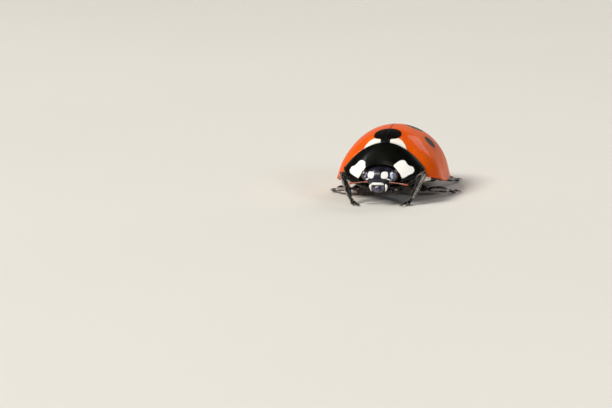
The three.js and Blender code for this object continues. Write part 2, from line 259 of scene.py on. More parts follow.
# Wing cases: sclerotised chitin, pigmented orange-red under a clear smooth surface layer, so they look
# lacquered.
wingPaint = {
    "orange": "#f26302", "deepOrange": "#d24001", "seamBrown": "#6e1d05",
    "black": "#070606", "ivory": "#f8f3e8", "roughness": 0.42, "lacquer": 0.25,
    # in mm
    "coarse": 0.9, "fine": 0.07, "pitSpacing": 0.085, "pitDepth": 0.0026, "swellGrain": 0.5, "swell": 0.006,
    "blur": 0.02, "wobbleGrain": 0.3, "wobble": 0.08, "seamFrom": 0.034, "seamTo": 0.01,
    # share of the length from the base, share of the half-width, radius in mm
    "spots": [(0.345, 0.72, 0.38), (0.50, 0.37, 0.50), (0.74, 0.60, 0.42)],
    # endless is its half height: it goes right through the shell
    "scutellarSpot": {"y": -1.13, "halfWidth": 0.70, "halfLength": 0.54, "endless": 1000,
                      "power": 2.3, "neck": 0.25},
    "basePatch": {"x": 0.63, "halfWidth": 0.50, "depth": 0.40},
}


def spotPlace(along, across):
    y = mix(back["baseY"], back["rearY"], along)
    x = widthAt(y) * across
    return Vector((x, y, domeZ(x, y)))


def blackDistance(tree, folded, ax, y, setup):
    # metres to the nearest black spot, less than 0 inside it
    gaps = []
    for along, across, radius in setup["spots"]:
        away = addNode(tree, "VectorMath", (folded, spotPlace(along, across) * mm), operation="DISTANCE")
        gaps.append(addNode(tree, "Math", (away, radius * mm), operation="SUBTRACT"))
    spot = setup["scutellarSpot"]
    radii = (spot["halfWidth"], spot["halfLength"], spot["endless"])
    reach = patchReach(tree, folded, (0, spot["y"], 0), radii, spot["power"])
    perReach = spot["halfLength"] * mm
    gaps.append(addNode(tree, "Math", (reach, perReach, -perReach), operation="MULTIPLY_ADD"))
    # the same black runs forward beside the scutellum
    beside = addNode(tree, "Math", (ax, spot["neck"] * mm), operation="SUBTRACT")
    behind = addNode(tree, "Math", (y, spot["y"] * mm), operation="SUBTRACT")
    nearest = addNode(tree, "Math", (beside, behind), operation="MAXIMUM")
    for gap in gaps:
        nearest = addNode(tree, "Math", (nearest, gap), operation="MINIMUM")
    return nearest


def whiteDistance(tree, ax, y, patch):
    # a parabola over the swept base edge: this stays under baseY + depth inside it
    aside = addNode(tree, "Math", (ax, patch["x"] * mm), operation="SUBTRACT")
    asideSquared = addNode(tree, "Math", (aside, aside), operation="MULTIPLY")
    axSquared = addNode(tree, "Math", (ax, ax), operation="MULTIPLY")
    behind = addNode(tree, "Math", (axSquared, back["baseSweep"] / mm, y), operation="MULTIPLY_ADD")
    steepness = patch["depth"] / (patch["halfWidth"] ** 2 * mm)
    return addNode(tree, "Math", (asideSquared, steepness, behind), operation="MULTIPLY_ADD")


def makeWingPaint(setup):
    material, tree, shader, place = newMaterial("wingCaseChitin")
    orange, deepOrange, seamBrown, black, ivory = (
        hexColour(setup[key]) for key in ("orange", "deepOrange", "seamBrown", "black", "ivory"))
    folded = foldedPlace(tree, place)
    axes = addNode(tree, "SeparateXYZ", (folded,))
    ax, y = axes.outputs["X"], axes.outputs["Y"]
    seamFrom, seamTo, blur = (setup[key] * mm for key in ("seamFrom", "seamTo", "blur"))
    grain, wobble = setup["wobbleGrain"], setup["wobble"] * mm
    clouds = addNode(tree, "TexNoise", {"Vector": place, "Scale": 1 / (setup["coarse"] * mm), "Detail": 3})
    specks = addNode(tree, "TexNoise", {"Vector": place, "Scale": 1 / (setup["fine"] * mm), "Detail": 2})
    colour = layer(tree, orange, deepOrange, clouds, 0.35, 0.7, 0.6, "LINEAR")
    colour = layer(tree, colour, deepOrange, specks, 0.45, 0.75, 0.45, "LINEAR")
    colour = layer(tree, colour, seamBrown, ax, seamFrom, seamTo)
    patch = setup["basePatch"]
    white = roughened(tree, whiteDistance(tree, ax, y, patch), place, grain, wobble)
    edgeY = (back["baseY"] + patch["depth"]) * mm
    colour = layer(tree, colour, ivory, white, edgeY + blur * 1.5, edgeY - blur * 1.5)
    spots = roughened(tree, blackDistance(tree, folded, ax, y, setup), place, grain, wobble)
    colour = layer(tree, colour, black, spots, blur, -blur)
    # dull inside the seam
    lacquer = addNode(tree, "MapRange", {"Value": ax, "From Min": seamFrom, "From Max": seamTo,
                                         "To Min": setup["lacquer"], "To Max": 0.0},
                      interpolation_type="SMOOTHSTEP")
    feed(shader, {"Base Color": colour, "Roughness": setup["roughness"], "IOR": 1.54,
                  "Specular IOR Level": 0.03, "Coat Weight": lacquer, "Coat Roughness": 0.1, "Coat IOR": 1.5,
                  "Normal": relief(tree, place, setup["swellGrain"], setup["swell"], 2,
                                   setup["pitSpacing"], setup["pitDepth"])})
    return material


# Black chitin, hardened in the open air: almost no colour of its own, a satin net of tiny plates, and pits.
# Spacing and depth are those of the pits, and clouds is the grain of its lighter clouds, in mm; on the head
# and the upper lip those lighter clouds are painted sheen.
blackChitin = {
    "scutellum": {"spacing": 0.06, "depth": 0.002, "roughness": 0.3, "coat": 0.2, "specular": 0.15,
                  "clouds": 0.4, "tint": "#050604", "high": "#0c0d08"},
    "ventral": {"spacing": 0.09, "depth": 0.005, "roughness": 0.36, "tint": "#090807", "high": "#15120d"},
    "pronotum": {"spacing": 0.075, "depth": 0.0016, "roughness": 0.33, "coat": 0.05, "specular": 0.06,
                 "tint": "#030402", "high": "#080a05"},
    # the head's blue-violet cast, strongest in its lighter clouds, is painted sheen
    "head": {"spacing": 0.065, "depth": 0.006, "roughness": 0.24, "coat": 0.5,
             "tint": "#09090d", "high": "#27263a"},
    # the upper lip is the glossiest; its lighter clouds are a painted silvery reflection
    "labrum": {"spacing": 0.07, "depth": 0.008, "roughness": 0.2, "coat": 0.8, "clouds": 0.13,
               "tint": "#07070b", "high": "#605e76"},
    "palp": {"spacing": 0.08, "depth": 0.001, "roughness": 0.34, "tint": "#100c0a", "high": "#241a13"},
    "leg": {"spacing": 0.07, "depth": 0.003, "coat": 0.4, "tint": "#0a0908", "high": "#1a130d"},
}


def makeBlackChitin(part):
    # what a part doesn't say, it takes from the scutellum
    setup = {**blackChitin["scutellum"], **blackChitin[part]}
    material, tree, shader, place = newMaterial(part + "Chitin")
    clouds = addNode(tree, "TexNoise", {"Vector": place, "Scale": 1 / (setup["clouds"] * mm), "Detail": 4})
    # the lighter clouds: real mottling on most parts, painted sheen on the head and the upper lip
    colour = layer(tree, hexColour(setup["tint"]), hexColour(setup["high"]), clouds, 0.34, 0.66)
    feed(shader, {"Base Color": colour, "Roughness": setup["roughness"], "IOR": 1.54,
                  "Specular IOR Level": setup["specular"],
                  "Coat Weight": setup["coat"], "Coat Roughness": 0.16,
                  "Normal": relief(tree, place, 0.03, 0.0012, 3, setup["spacing"], setup["depth"])})
    return material, tree, shader, place, colour


def makeMottled(name, setup):
    # two close colours in soft clouds, whose grain is given in millimetres
    material, tree, shader, place = newMaterial(name)
    clouds = addNode(tree, "TexNoise", {"Vector": place, "Scale": 1 / (setup["clouds"] * mm), "Detail": 4})
    colour = layer(tree, hexColour(setup["light"]), hexColour(setup["dark"]), clouds, 0, 1, fade="LINEAR")
    feed(shader, {"Base Color": colour, **setup["finish"]})
    return material, tree, shader, place


# the white side plates below the shoulders of the wing cases
sidePlate = {"centre": (2.0, -1.9, rimZ + 0.44), "radii": (0.30, 0.34, 0.22), "ivory": "#e9e4d8",
             "wobbleGrain": 0.2, "wobble": 0.3}


def makeVentralPaint(setup):
    material, tree, shader, place, black = makeBlackChitin("ventral")
    reach = patchReach(tree, foldedPlace(tree, place), setup["centre"], setup["radii"])
    reach = roughened(tree, reach, place, setup["wobbleGrain"], setup["wobble"], 4)
    feed(shader, {"Base Color": layer(tree, black, hexColour(setup["ivory"]), reach, 1.08, 0.92)})
    return material


wingChitin = makeWingPaint(wingPaint)
scutellumChitin = makeBlackChitin("scutellum")[0]
ventralChitin = makeVentralPaint(sidePlate)
legChitin = makeBlackChitin("leg")[0]
print("materials made")


# ---- making pieces

def gridOf(across, along):
    bm = bmesh.new()
    bmesh.ops.create_grid(bm, x_segments=across, y_segments=along, size=0.5)
    return bm


def warp(bm, placeOf):
    # placeOf takes the grid's own u and v from 0 to 1, and gives a place in millimetres
    for vert in bm.verts:
        vert.co = Vector(placeOf(vert.co.x + 0.5, vert.co.y + 0.5)) * mm


def addBall(bm, around, rings, placeOf):
    # placeOf takes a place on the unit sphere, and gives one in millimetres
    made = bmesh.ops.create_uvsphere(bm, u_segments=around, v_segments=rings, radius=1)
    for vert in made["verts"]:
        vert.co = Vector(placeOf(*vert.co)) * mm


def closeUp(bm):
    bmesh.ops.remove_doubles(bm, verts=bm.verts, dist=0.0004 * mm)
    bmesh.ops.recalc_face_normals(bm, faces=bm.faces)


def faceAway(bm, centre):
    # turns an open sheet so that its faces look away from centre, given in millimetres
    closeUp(bm)
    middle = Vector(centre) * mm
    outward = sum(f.normal.dot(f.calc_center_median() - middle) * f.calc_area() for f in bm.faces)
    if outward < 0:
        bmesh.ops.reverse_faces(bm, faces=bm.faces)


def newObject(name, bm, material):
    mesh = bpy.data.meshes.new(name)
    bm.to_mesh(mesh)
    bm.free()
    for face in mesh.polygons:
        face.use_smooth = True
    mesh.materials.append(material)
    made = bpy.data.objects.new(name, mesh)
    scene.collection.objects.link(made)
    return made


def finishPiece(name, bm, material, node=None, wall=0.0, closed=True):
    # a piece is closed, or it is a sheet with a wall in millimetres, or it is loose spikes
    if closed:
        closeUp(bm)
    piece = newObject(name, bm, material)
    if wall:
        solid = piece.modifiers.new("wall", "SOLIDIFY")
        solid.thickness, solid.offset = wall * mm, -1
    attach(piece, "root")
    if node:
        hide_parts(node)
    return piece


def along(values, share):
    # a smooth run through evenly spaced values
    at = min(max(share, 0), 1) * (len(values) - 1)
    i = min(int(at), len(values) - 2)
    return mix(values[i], values[i + 1], smooth(0, 1, at - i))


def limbOf(start, end, radii, flatten=1.0, bow=0.0, upward=(0, 0, 1), endPower=5):
    # a rounded limb: radii run from start to end, flatten squashes it and bow arches it to its upper side
    a, b = Vector(start), Vector(end)
    run = (b - a).normalized()
    side = run.cross(Vector(upward)).normalized()
    return {"start": a, "run": run, "side": side, "top": side.cross(run), "length": (b - a).length,
            "radii": radii, "flatten": flatten, "bow": bow, "endPower": endPower}


def limbPlace(limb, share, angle):
    swell = along(limb["radii"], share) * max(1 - abs(2 * share - 1) ** limb["endPower"], 0) ** 0.5
    upwards = math.sin(angle) * swell * limb["flatten"] + limb["bow"] * 4 * share * (1 - share)
    onward = limb["start"] + limb["run"] * share * limb["length"]
    return onward + limb["side"] * math.cos(angle) * swell + limb["top"] * upwards


def addLimb(bm, limb, around=20, rings=18):
    addBall(bm, around, rings, lambda x, y, z: limbPlace(limb, (z + 1) / 2, math.atan2(y, x)))


# Setae: fine pale hairs, stiff and solid. Each is a slim three-sided spike that leans along its limb.
# They are clear yellowish chitin, so thin that they glow in the light.
setaPaint = {"light": "#f6f3ef", "dark": "#cbbfae", "clouds": 0.5, "finish": {"Roughness": 0.42, "IOR": 1.54}}
setaChitin = makeMottled("setaChitin", setaPaint)[0]
hairCell = 0.003      # a hair's own patch of the unwrap


def addSeta(bm, root, direction, length, radius, mapPlace):
    # mapPlace is the root's place on the unwrapped skin
    turn = direction.to_track_quat("Z", "Y").to_matrix().to_4x4()
    middle = Matrix.Translation((root + direction * length * 0.47) * mm)
    made = bmesh.ops.create_cone(bm, cap_ends=True, segments=3, depth=length * mm, matrix=middle @ turn,
                                 radius1=radius * mm, radius2=radius * 0.12 * mm)
    bakeMap = bm.loops.layers.uv.verify()
    for face in {face for vert in made["verts"] for face in vert.link_faces}:
        for i, loop in enumerate(face.loops):
            loop[bakeMap].uv = (mapPlace[0] + hairCell * (i % 2), mapPlace[1] + hairCell * (i // 2))


def addLimbSetae(bm, limb, count, length, radius, lean, cell,
                 shares=(0.08, 0.96), angles=(0, 2 * math.pi)):
    # cell is the limb's own square of the unwrap: its corner and its side
    for _ in range(count):
        share, angle = random.uniform(*shares), random.uniform(*angles)
        root = limbPlace(limb, share, angle)
        onward = limbPlace(limb, share + 0.01, angle) - root
        around = limbPlace(limb, share, angle + 0.1) - root
        normal = around.cross(onward).normalized()
        if normal.dot(root - limbPlace(limb, share, angle + math.pi)) < 0:
            normal = -normal
        wander = Vector([random.uniform(-0.2, 0.2) for _ in range(3)])
        direction = (normal * math.cos(lean) + onward.normalized() * math.sin(lean) + wander).normalized()
        mapPlace = (cell[0] + cell[2] * angle / (2 * math.pi), cell[1] + cell[2] * share)
        addSeta(bm, root, direction, length * random.uniform(0.7, 1.2), radius, mapPlace)


def finishSetae(name, bm):
    piece = finishPiece(name, bm, setaChitin, closed=False)
    piece.data.uv_layers[0].name = "OFBake"


# ---- wing cases and scutellum

scutellumShape = {"halfWidth": 0.24, "tipY": -1.42, "overlap": 0.012, "sunk": 0.012, "crown": 0.008,
                  "frontDrop": 0.05, "wall": 0.08}
wingCase = {
    "across": 140, "along": 116, "wall": 0.05,
    # half the gap between the two wing cases, which narrows from tailFrom to tailTo
    "seam": 0.006, "tailSeam": 0.001, "tailFrom": 2.5, "tailTo": 3.1,
    "seamShare": 0.03, "seamDepth": 0.06,      # the edge turned down along the seam
    "backShare": 0.84,        # share of the sheet over the back, the rest is the turned-under rim
    "beadWidth": 0.05, "beadFrom": 0.87,
    "rimRadius": 0.045, "underWidth": 0.34, "underRise": 0.10,
    "grooveDepth": 0.014, "grooveWidth": 0.034,
    "baseRound": 0.09, "baseDrop": 0.07, "baseGap": 0.02,
    "shoulder": {"y": -1.35, "across": 0.80, "lift": 0.06, "reach": 0.55},
}


def seamX(y):
    # the gap closes at the tail, where nothing dark lies below it
    gap = mix(wingCase["seam"], wingCase["tailSeam"], smooth(wingCase["tailFrom"], wingCase["tailTo"], y))
    toTip = (scutellumShape["tipY"] - y) / (scutellumShape["tipY"] - back["baseY"])
    return max(gap, (scutellumShape["halfWidth"] + 0.02) * min(toTip, 1))


def wingPlace(u, v):
    setup = wingCase
    over = min(max(u - setup["seamShare"], 0) / (setup["backShare"] - setup["seamShare"]), 1)
    under = max((u - setup["backShare"]) / (1 - setup["backShare"]), 0)
    inSeam = max(1 - u / setup["seamShare"], 0)
    startY = back["baseY"]
    for _ in range(6):
        angle = over * rimAngle(startY)
        startX = widthAt(startY) * math.sin(angle) ** (2 / sectionPower(startY))
        startY = baseEdgeY(startX) + setup["baseGap"]
    y = mix(startY, back["rearY"], math.sin(v * math.pi / 2))
    wide, bend = widthAt(y), 2 / sectionPower(y)
    angle = over * rimAngle(y)
    inner = min(seamX(y), wide)
    x = inner + (wide - inner) * math.sin(angle) ** bend
    z = domeZ(x, y) if over < 1 and wide > 1e-4 else rimAt(y)
    # outward direction in plan, square to the rim
    step = 0.02
    slope = (rimX(min(y + step, back["rearY"])) - rimX(y - step)) / (min(y + step, back["rearY"]) - y + step)
    outX, outY = 1 / math.hypot(1, slope), -slope / math.hypot(1, slope)
    if v > 0.9999:
        outX, outY = 0.0, 1.0
    size = smooth(0, 1.2, wide)
    # rolled outer edge, a fine groove beside the seam, a rounded base, and the shoulder bump
    flare = setup["beadWidth"] * size * max((over - setup["beadFrom"]) / (1 - setup["beadFrom"]), 0) ** 2
    groove = setup["grooveDepth"] * (1 - smooth(0, setup["grooveWidth"], x - inner)) * size
    fromBase = y - startY
    drop = setup["baseDrop"] * (1 - smooth(0, setup["baseRound"], fromBase))
    hump = setup["shoulder"]
    awayFrom = math.hypot(over - hump["across"], (y - hump["y"]) / 1.6) / hump["reach"]
    lift = hump["lift"] * (1 - smooth(0, 1, awayFrom))
    x += outX * (flare + lift) * (1 if over > 0 else 0)
    y += outY * flare
    z += lift * 0.5 - groove - drop * math.cos(angle) - inSeam * setup["seamDepth"] * size
    if under > 0:
        radius = setup["rimRadius"] * max(size, 0.25)
        turn = min(under / 0.3, 1) * math.pi / 2
        inward = radius * (1 - math.cos(turn))
        z -= radius * math.sin(turn)
        beyond = max((under - 0.3) / 0.7, 0)
        inward += beyond * setup["underWidth"]
        z += beyond * setup["underRise"]
        x -= outX * inward
        y -= outY * inward
    return max(x, setup["tailSeam"]), y, z


def makeWingCases(setup):
    for sideName, side in sides:
        def place(u, v):
            x, y, z = wingPlace(u, v)
            return x * side, y, z

        bm = gridOf(setup["across"], setup["along"])
        warp(bm, place)
        faceAway(bm, (0, 0.4, 0.9))
        finishPiece("wingCase_" + sideName, bm, wingChitin, "elytron_" + sideName,
                    wall=setup["wall"], closed=False)


def makeScutellum(setup):
    bm = gridOf(24, 18)

    def place(u, v):
        half = (setup["halfWidth"] + setup["overlap"]) * (1 - v) ** 0.9
        y = mix(back["baseY"] - 0.04, setup["tipY"] - 0.01, v)
        x = (2 * u - 1) * half
        crown = setup["crown"] * (1 - (2 * u - 1) ** 2)
        drop = setup["frontDrop"] * (1 - smooth(0, 0.25, v))
        return x, y, domeZ(x, y) - setup["sunk"] + crown - drop

    warp(bm, place)
    faceAway(bm, (0, -1.6, 0))
    finishPiece("scutellumPlate", bm, scutellumChitin, "scutellum",
                wall=setup["wall"], closed=False)


makeWingCases(wingCase)
makeScutellum(scutellumShape)
print("wing cases and scutellum made")


# ---- pronotum

pronotumShape = {
    "frontHalfWidth": 1.07, "rearHalfWidth": 2.06, "frontY": -2.9, "cornerReach": 0.38,
    "frontRise": 1.37, "cornerRise": 0.64, "hindCornerRise": 0.97, "hindCornerLift": 0.14,
    "rimThickness": 0.1, "across": 120, "along": 60, "wall": 0.045,
    "bead": 0.03, "gap": 0.01, "frontDrop": 0.02, "rearDrop": 0.03, "lip": 0.012,
}


def pronotumHalfWidth(t):
    shape = pronotumShape
    return mix(shape["frontHalfWidth"], shape["rearHalfWidth"], math.sin(t * math.pi / 2) ** 0.85)


def climb(t):
    return 0.55 * t + 0.45 * (1 - (1 - t) ** 2)


def pronotumPlan(s, t):
    shape = pronotumShape
    front = shape["frontY"] - shape["cornerReach"] * s * s
    return s * pronotumHalfWidth(t), mix(front, baseEdgeY(s * shape["rearHalfWidth"]) - shape["gap"], t)


def pronotumTop(s, t):
    shape = pronotumShape
    x, y = pronotumPlan(s, t)
    rearX = s * shape["rearHalfWidth"]
    crown = max(1 - abs(s) ** 3, 0) ** 0.6
    frontZ = rimZ + mix(shape["cornerRise"], shape["frontRise"], crown)
    rearZ = domeZ(rearX, baseEdgeY(rearX)) + shape["hindCornerLift"] * s ** 4
    return x, y, mix(frontZ, rearZ, climb(t))


def pronotumUnderZ(t):
    shape = pronotumShape
    return rimZ + mix(shape["cornerRise"], shape["hindCornerRise"], climb(t)) - shape["rimThickness"]


# The ivory front corners, in millimetres on the plate: across from the middle, and back from its front edge.
cornerPatch = {
    "outline": [(0.66, 0.06), (0.85, 0.37), (1.07, 0.59), (1.27, 0.70), (1.80, 0.75), (1.95, 0.70),
                (1.92, 0.53), (1.66, 0.20), (1.46, 0.01), (0.85, 0.00)],
    "notch": (1.46, 0.88, 0.28),      # the black bites in here: its place and radius
    "depth": 1.62,                    # from the front edge to the hind edge, over the curve
    "narrower": 0.15,                 # the right-hand patch keeps this much further from the middle in front
    "ivory": "#fffdf8", "blur": 0.014, "wobbleGrain": 0.3, "wobble": 0.05, "soften": 0.05,
}


def makePronotumPaint(setup):
    # black chitin with two unpigmented corners, which look like porcelain
    material, tree, shader, place, black = makeBlackChitin("pronotum")
    onPlate = addNode(tree, "UVMap", uv_map="plate")
    points = [Vector((x, y, 0)) for x, y in setup["outline"]]
    middle = sum(points, Vector()) / len(points)
    outside = None
    for a, b in zip(points, points[1:] + points[:1]):
        wall = Vector((b.y - a.y, a.x - b.x, 0)).normalized()
        wall = -wall if wall.dot(middle - a) > 0 else wall
        reach = addNode(tree, "VectorMath", (onPlate, wall), operation="DOT_PRODUCT")
        past = addNode(tree, "Math", (reach, wall.dot(a)), operation="SUBTRACT")
        if outside is None:
            outside = past
        else:
            outside = addNode(tree, "Math", (outside, past, setup["soften"]), operation="SMOOTH_MAX")
    x, y, radius = setup["notch"]
    away = addNode(tree, "VectorMath", (onPlate, (x, y, 0)), operation="DISTANCE")
    bite = addNode(tree, "Math", (radius, away), operation="SUBTRACT")
    outside = addNode(tree, "Math", (outside, bite, setup["soften"] * 3), operation="SMOOTH_MAX")
    outside = roughened(tree, outside, place, setup["wobbleGrain"], setup["wobble"])
    colour = layer(tree, black, hexColour(setup["ivory"]), outside, setup["blur"], -setup["blur"])
    feed(shader, {"Base Color": colour})
    return material


def makePronotum(setup):
    bm = gridOf(setup["across"], setup["along"])
    plateMap = bm.loops.layers.uv.new("plate")

    def onPlate(u, v):
        return math.sin((2 * u - 1) * math.pi / 2), v

    # how far each place lies from the middle, measured over the curve
    half = setup["across"] // 2
    rows = []
    for row in range(setup["along"] + 1):
        v = row / setup["along"]
        spots = [Vector(pronotumTop(*onPlate(0.5 + 0.5 * i / half, v))) for i in range(half + 1)]
        lengths = [0]
        for a, b in zip(spots, spots[1:]):
            lengths.append(lengths[-1] + (b - a).length)
        rows.append(lengths)
    for face in bm.faces:
        for loop in face.loops:
            u, v = loop.vert.co.x + 0.5, loop.vert.co.y + 0.5
            s, t = onPlate(u, v)
            column = round(abs(2 * u - 1) * half)
            across, down = rows[round(t * setup["along"])][column], t * cornerPatch["depth"]
            if s < 0:
                inFront = (1 - smooth(0.05, 0.45, down)) * (1 - smooth(0.85, 1.1, across))
                across -= cornerPatch["narrower"] * inFront
            loop[plateMap].uv = (across, down)

    def place(u, v):
        s, t = onPlate(u, v)
        x, y, z = pronotumTop(s, t)
        bead = setup["bead"] * (smooth(0.955, 0.985, abs(s)) - smooth(0.985, 1, abs(s)))
        edges = setup["frontDrop"] * (1 - smooth(0, 0.04, t)) + setup["rearDrop"] * smooth(0.97, 1, t)
        lip = setup["lip"] * (smooth(0.03, 0.06, t) - smooth(0.06, 0.1, t)) * (1 - abs(s) ** 4)
        return x * (1 + bead * 0.4), y, z + bead - edges * (1 - abs(s) ** 6) - lip

    warp(bm, place)
    faceAway(bm, (0, -2.2, 0.6))
    finishPiece("pronotumPlate", bm, makePronotumPaint(cornerPatch), "pronotum",
                wall=setup["wall"], closed=False)


makePronotum(pronotumShape)

prosternumShape = {"widthShare": 0.97, "rise": 0.27, "frontMiddle": -2.4, "frontCorner": -3.2, "wall": 0.08}


def makeProsternum(setup):
    bm = gridOf(64, 30)

    def place(u, v):
        s = 2 * u - 1
        x = s * pronotumHalfWidth(v) * setup["widthShare"]
        front = mix(setup["frontMiddle"], setup["frontCorner"], abs(s) ** 1.4)
        y = mix(front, baseEdgeY(s * pronotumShape["rearHalfWidth"]), v)
        hang = max(1 - abs(s) ** 2.2, 0) ** 0.8
        z = mix(pronotumUnderZ(v) + 0.03, rimZ + setup["rise"], hang)
        return x, y, z

    warp(bm, place)
    faceAway(bm, (0, -2.3, 4))
    finishPiece("prosternumPlate", bm, ventralChitin, "prosternum",
                wall=setup["wall"], closed=False)


makeProsternum(prosternumShape)
print("pronotum made")


# ---- thorax and abdomen, seen from below

trunkShape = {
    "inset": 0.3, "bellyZ": rimZ + 0.2, "edgeLift": 0.07, "underWing": 0.13,
    "splitY": 0.78, "plates": 6, "step": 0.07, "around": 128, "axis": 0.9,
    # the groove down the middle, and the seam between the thorax's plates
    "grooveDepth": 0.025, "seamDepth": 0.03,
}


def trunkRing(y, turn):
    # a closed ring round the body: rounded under the wing cases, flat below
    shape = trunkShape
    middleY = (back["hiddenFrontY"] + back["rearY"]) / 2
    halfLength = (back["rearY"] - back["hiddenFrontY"]) / 2
    ovalY = min(middleY + (y - middleY) / (1 - shape["inset"] / halfLength), back["rearY"])
    wide = max(rimX(ovalY) - shape["inset"] * min(rimX(ovalY), 1), 0)
    edgeZ = rimAt(y) + shape["edgeLift"] * min(wide, 1)
    across, up = math.cos(turn), math.sin(turn)
    if up > 0:
        bend = 2 / sectionPower(y)
        top = max(rimZ + heightAt(ovalY) - shape["underWing"], edgeZ)
        return math.copysign(abs(across) ** bend, across) * wide, edgeZ + (top - edgeZ) * up ** bend, wide
    x = across * wide
    deep = (edgeZ - shape["bellyZ"]) * min(wide / 0.8, 1)
    return x, edgeZ - deep * abs(up) ** 0.5, wide


def drawIn(x, y, z, inside):
    # closes an end: inside is 0 on the trunk's axis and 1 on its skin
    middleZ = rimZ + trunkShape["axis"]
    return x * inside, y, middleZ + (z - middleZ) * inside


def makeThorax(setup):
    bm = gridOf(setup["around"], 56)

    def place(u, v):
        turn = u * 2 * math.pi
        inside = smooth(0, 0.03, v) * (1 - smooth(0.985, 1, v))
        y = mix(back["baseY"] + 0.05, setup["splitY"] - 0.01, smooth(0, 1, v) * 0.25 + v * 0.75)
        x, z, wide = trunkRing(y, turn)
        y -= back["baseSweep"] * x * x * (1 - v)
        below = smooth(0, 0.35, -math.sin(turn))
        groove = setup["grooveDepth"] * (1 - smooth(0, 0.06, abs(x))) * smooth(-0.6, -0.2, y)
        toSeam = abs(y + 1.15 + 0.25 * (abs(x) - 0.9))
        seam = setup["seamDepth"] * (1 - smooth(0, 0.05, toSeam)) * smooth(0.5, 0.8, abs(x))
        z += (groove + seam) * below
        return drawIn(x, y, z, inside)

    warp(bm, place)
    finishPiece("thoraxPlates", bm, ventralChitin, "thorax")


def makeAbdomen(setup):
    bm = gridOf(setup["around"], 120)
    length = back["rearY"] - setup["inset"] - setup["splitY"]

    def place(u, v):
        turn = u * 2 * math.pi
        inside = smooth(0, 0.02, v)
        y = setup["splitY"] + 0.01 + (length - 0.01) * math.sin(v * math.pi / 2)
        share = (y - setup["splitY"]) / length
        x, z, wide = trunkRing(y, turn)
        # each plate overlaps the next one like a roof tile, and its edge curves back
        s = x / max(wide, 1e-6)
        ringAt = (share ** 1.08) * setup["plates"] + 0.35 * s * s * (1 - share)
        tile = setup["step"] * (ringAt - math.floor(ringAt)) ** 3
        below = smooth(0, 0.35, -math.sin(turn))
        z -= tile * below * (1 - abs(s) ** 4)
        return drawIn(x, y, z, inside)

    warp(bm, place)
    finishPiece("abdomenPlates", bm, ventralChitin, "abdomen")


makeThorax(trunkShape)
makeAbdomen(trunkShape)
print("thorax and abdomen made")


# ---- head

headShape = {"centre": (0, -2.88, rimZ + 0.70), "radii": (0.9, 0.68, 0.60), "chin": 0.66,
             "browHollow": 0.02, "antennaDent": 0.06}
headTurn = {"pivot": (0, -2.3, 0), "degrees": -4.6}      # the head looks slightly to the animal's right
eyeShape = {"centre": (0.735, -3.09, rimZ + 0.87), "radii": (0.25, 0.26, 0.28)}
clypeusShape = {"halfWidth": 0.34, "bottomZ": rimZ + 0.455, "height": 0.135, "frontY": -3.66, "bow": 0.12,
                "thickness": 0.09, "droop": 0.05}
labrumShape = {"centre": (0.05, -3.46, rimZ + 0.27), "radii": (0.345, 0.2, 0.2), "notch": 0.03, "taper": 0.1}
jawShape = {
    "top": (0.385, -3.50, rimZ + 0.505), "bottom": (0.34, -3.54, rimZ + 0.12),
    "radii": [0.055, 0.076, 0.054, 0.027, 0.006], "flatten": 0.95, "bow": 0.045,
    "shift": 0.05,      # both jaws stand this far to the left, as the upper lip does
}
lipFringe = {"halfWidth": 0.24, "below": 0.1, "radii": [0.07, 0.09, 0.07], "count": 40, "length": 0.06,
             "radius": 0.003, "cell": (0.02, 0.02, 0.2), "angles": (3.9, 5.1)}
headMarks = {
    "ivory": "#fffdf8", "wobbleGrain": 0.2, "wobble": 0.4,
    # centre, half sizes, corner power, tilt in degrees: the spot by the eye, the streak by the antenna
    "marks": [((0.35, -3.42, rimZ + 0.935), (0.165, 0.4, 0.155), 3.2, 0),
              ((0.56, -3.38, rimZ + 0.72), (0.13, 0.4, 0.032), 2.0, 28)],
}


def turnHead(bm):
    bmesh.ops.rotate(bm, verts=bm.verts, cent=Vector(headTurn["pivot"]) * mm,
                     matrix=Matrix.Rotation(math.radians(headTurn["degrees"]), 3, "Z"))


def headPlace(x, y, z):
    low = smooth(-0.3, 0.9, -z)
    cx, cy, cz = headShape["centre"]
    rx, ry, rz = headShape["radii"]
    # a shallow hollow runs down the brow, and the antennae sit in two dents
    hollow = headShape["browHollow"] * (1 - smooth(0, 0.3, abs(x))) * smooth(0.5, 0.9, -y)
    away = math.hypot((abs(x) - 0.62) / 0.2, (z + 0.22) / 0.2)
    dent = headShape["antennaDent"] * (1 - smooth(0, 1, away)) * smooth(0.2, 0.6, -y)
    return cx + rx * x * mix(1, headShape["chin"], low), cy + ry * y + hollow + dent, cz + rz * z


def makeHeadPaint(setup):
    # the head's black chitin, with the pale marks that turn with it
    material, tree, shader, place, colour = makeBlackChitin("head")
    pivot, turn = Vector(headTurn["pivot"]) * mm, -math.radians(headTurn["degrees"])
    straight = addNode(tree, "Mapping", {"Vector": place, "Rotation": (0, 0, turn),
                                         "Location": pivot - Matrix.Rotation(turn, 3, "Z") @ pivot})
    folded = foldedPlace(tree, straight)
    for centre, sizes, power, tilt in setup["marks"]:
        reach = patchReach(tree, folded, centre, sizes, power, tilt)
        reach = roughened(tree, reach, place, setup["wobbleGrain"], setup["wobble"])
        colour = layer(tree, colour, hexColour(setup["ivory"]), reach, 1.08, 0.92)
    feed(shader, {"Base Color": colour})
    return material


def makeHead():
    bm = bmesh.new()
    addBall(bm, 84, 60, headPlace)
    turnHead(bm)
    finishPiece("headCapsule", bm, makeHeadPaint(headMarks), "head")


# Compound eye: a clear faceted cornea over dark pigment, brown outside; the pale blue-grey patch towards the
# brow is a painted reflection.
eyePaint = {
    "paintedReflection": "#b9c4e8", "dark": "#15131a", "brown": "#3b2a1f",
    # all in mm
    "brownFrom": 0.62, "brownTo": 0.86, "facet": 0.028, "facetDepth": 0.004, "reflectionGrain": 0.12,
    "reflectionCentre": (-0.15, -0.17, 0.0), "reflectionRadii": (0.19, 0.26, 0.2),
    "reflectionWobble": 1.6,      # in shares of those radii, so it is broken up
}


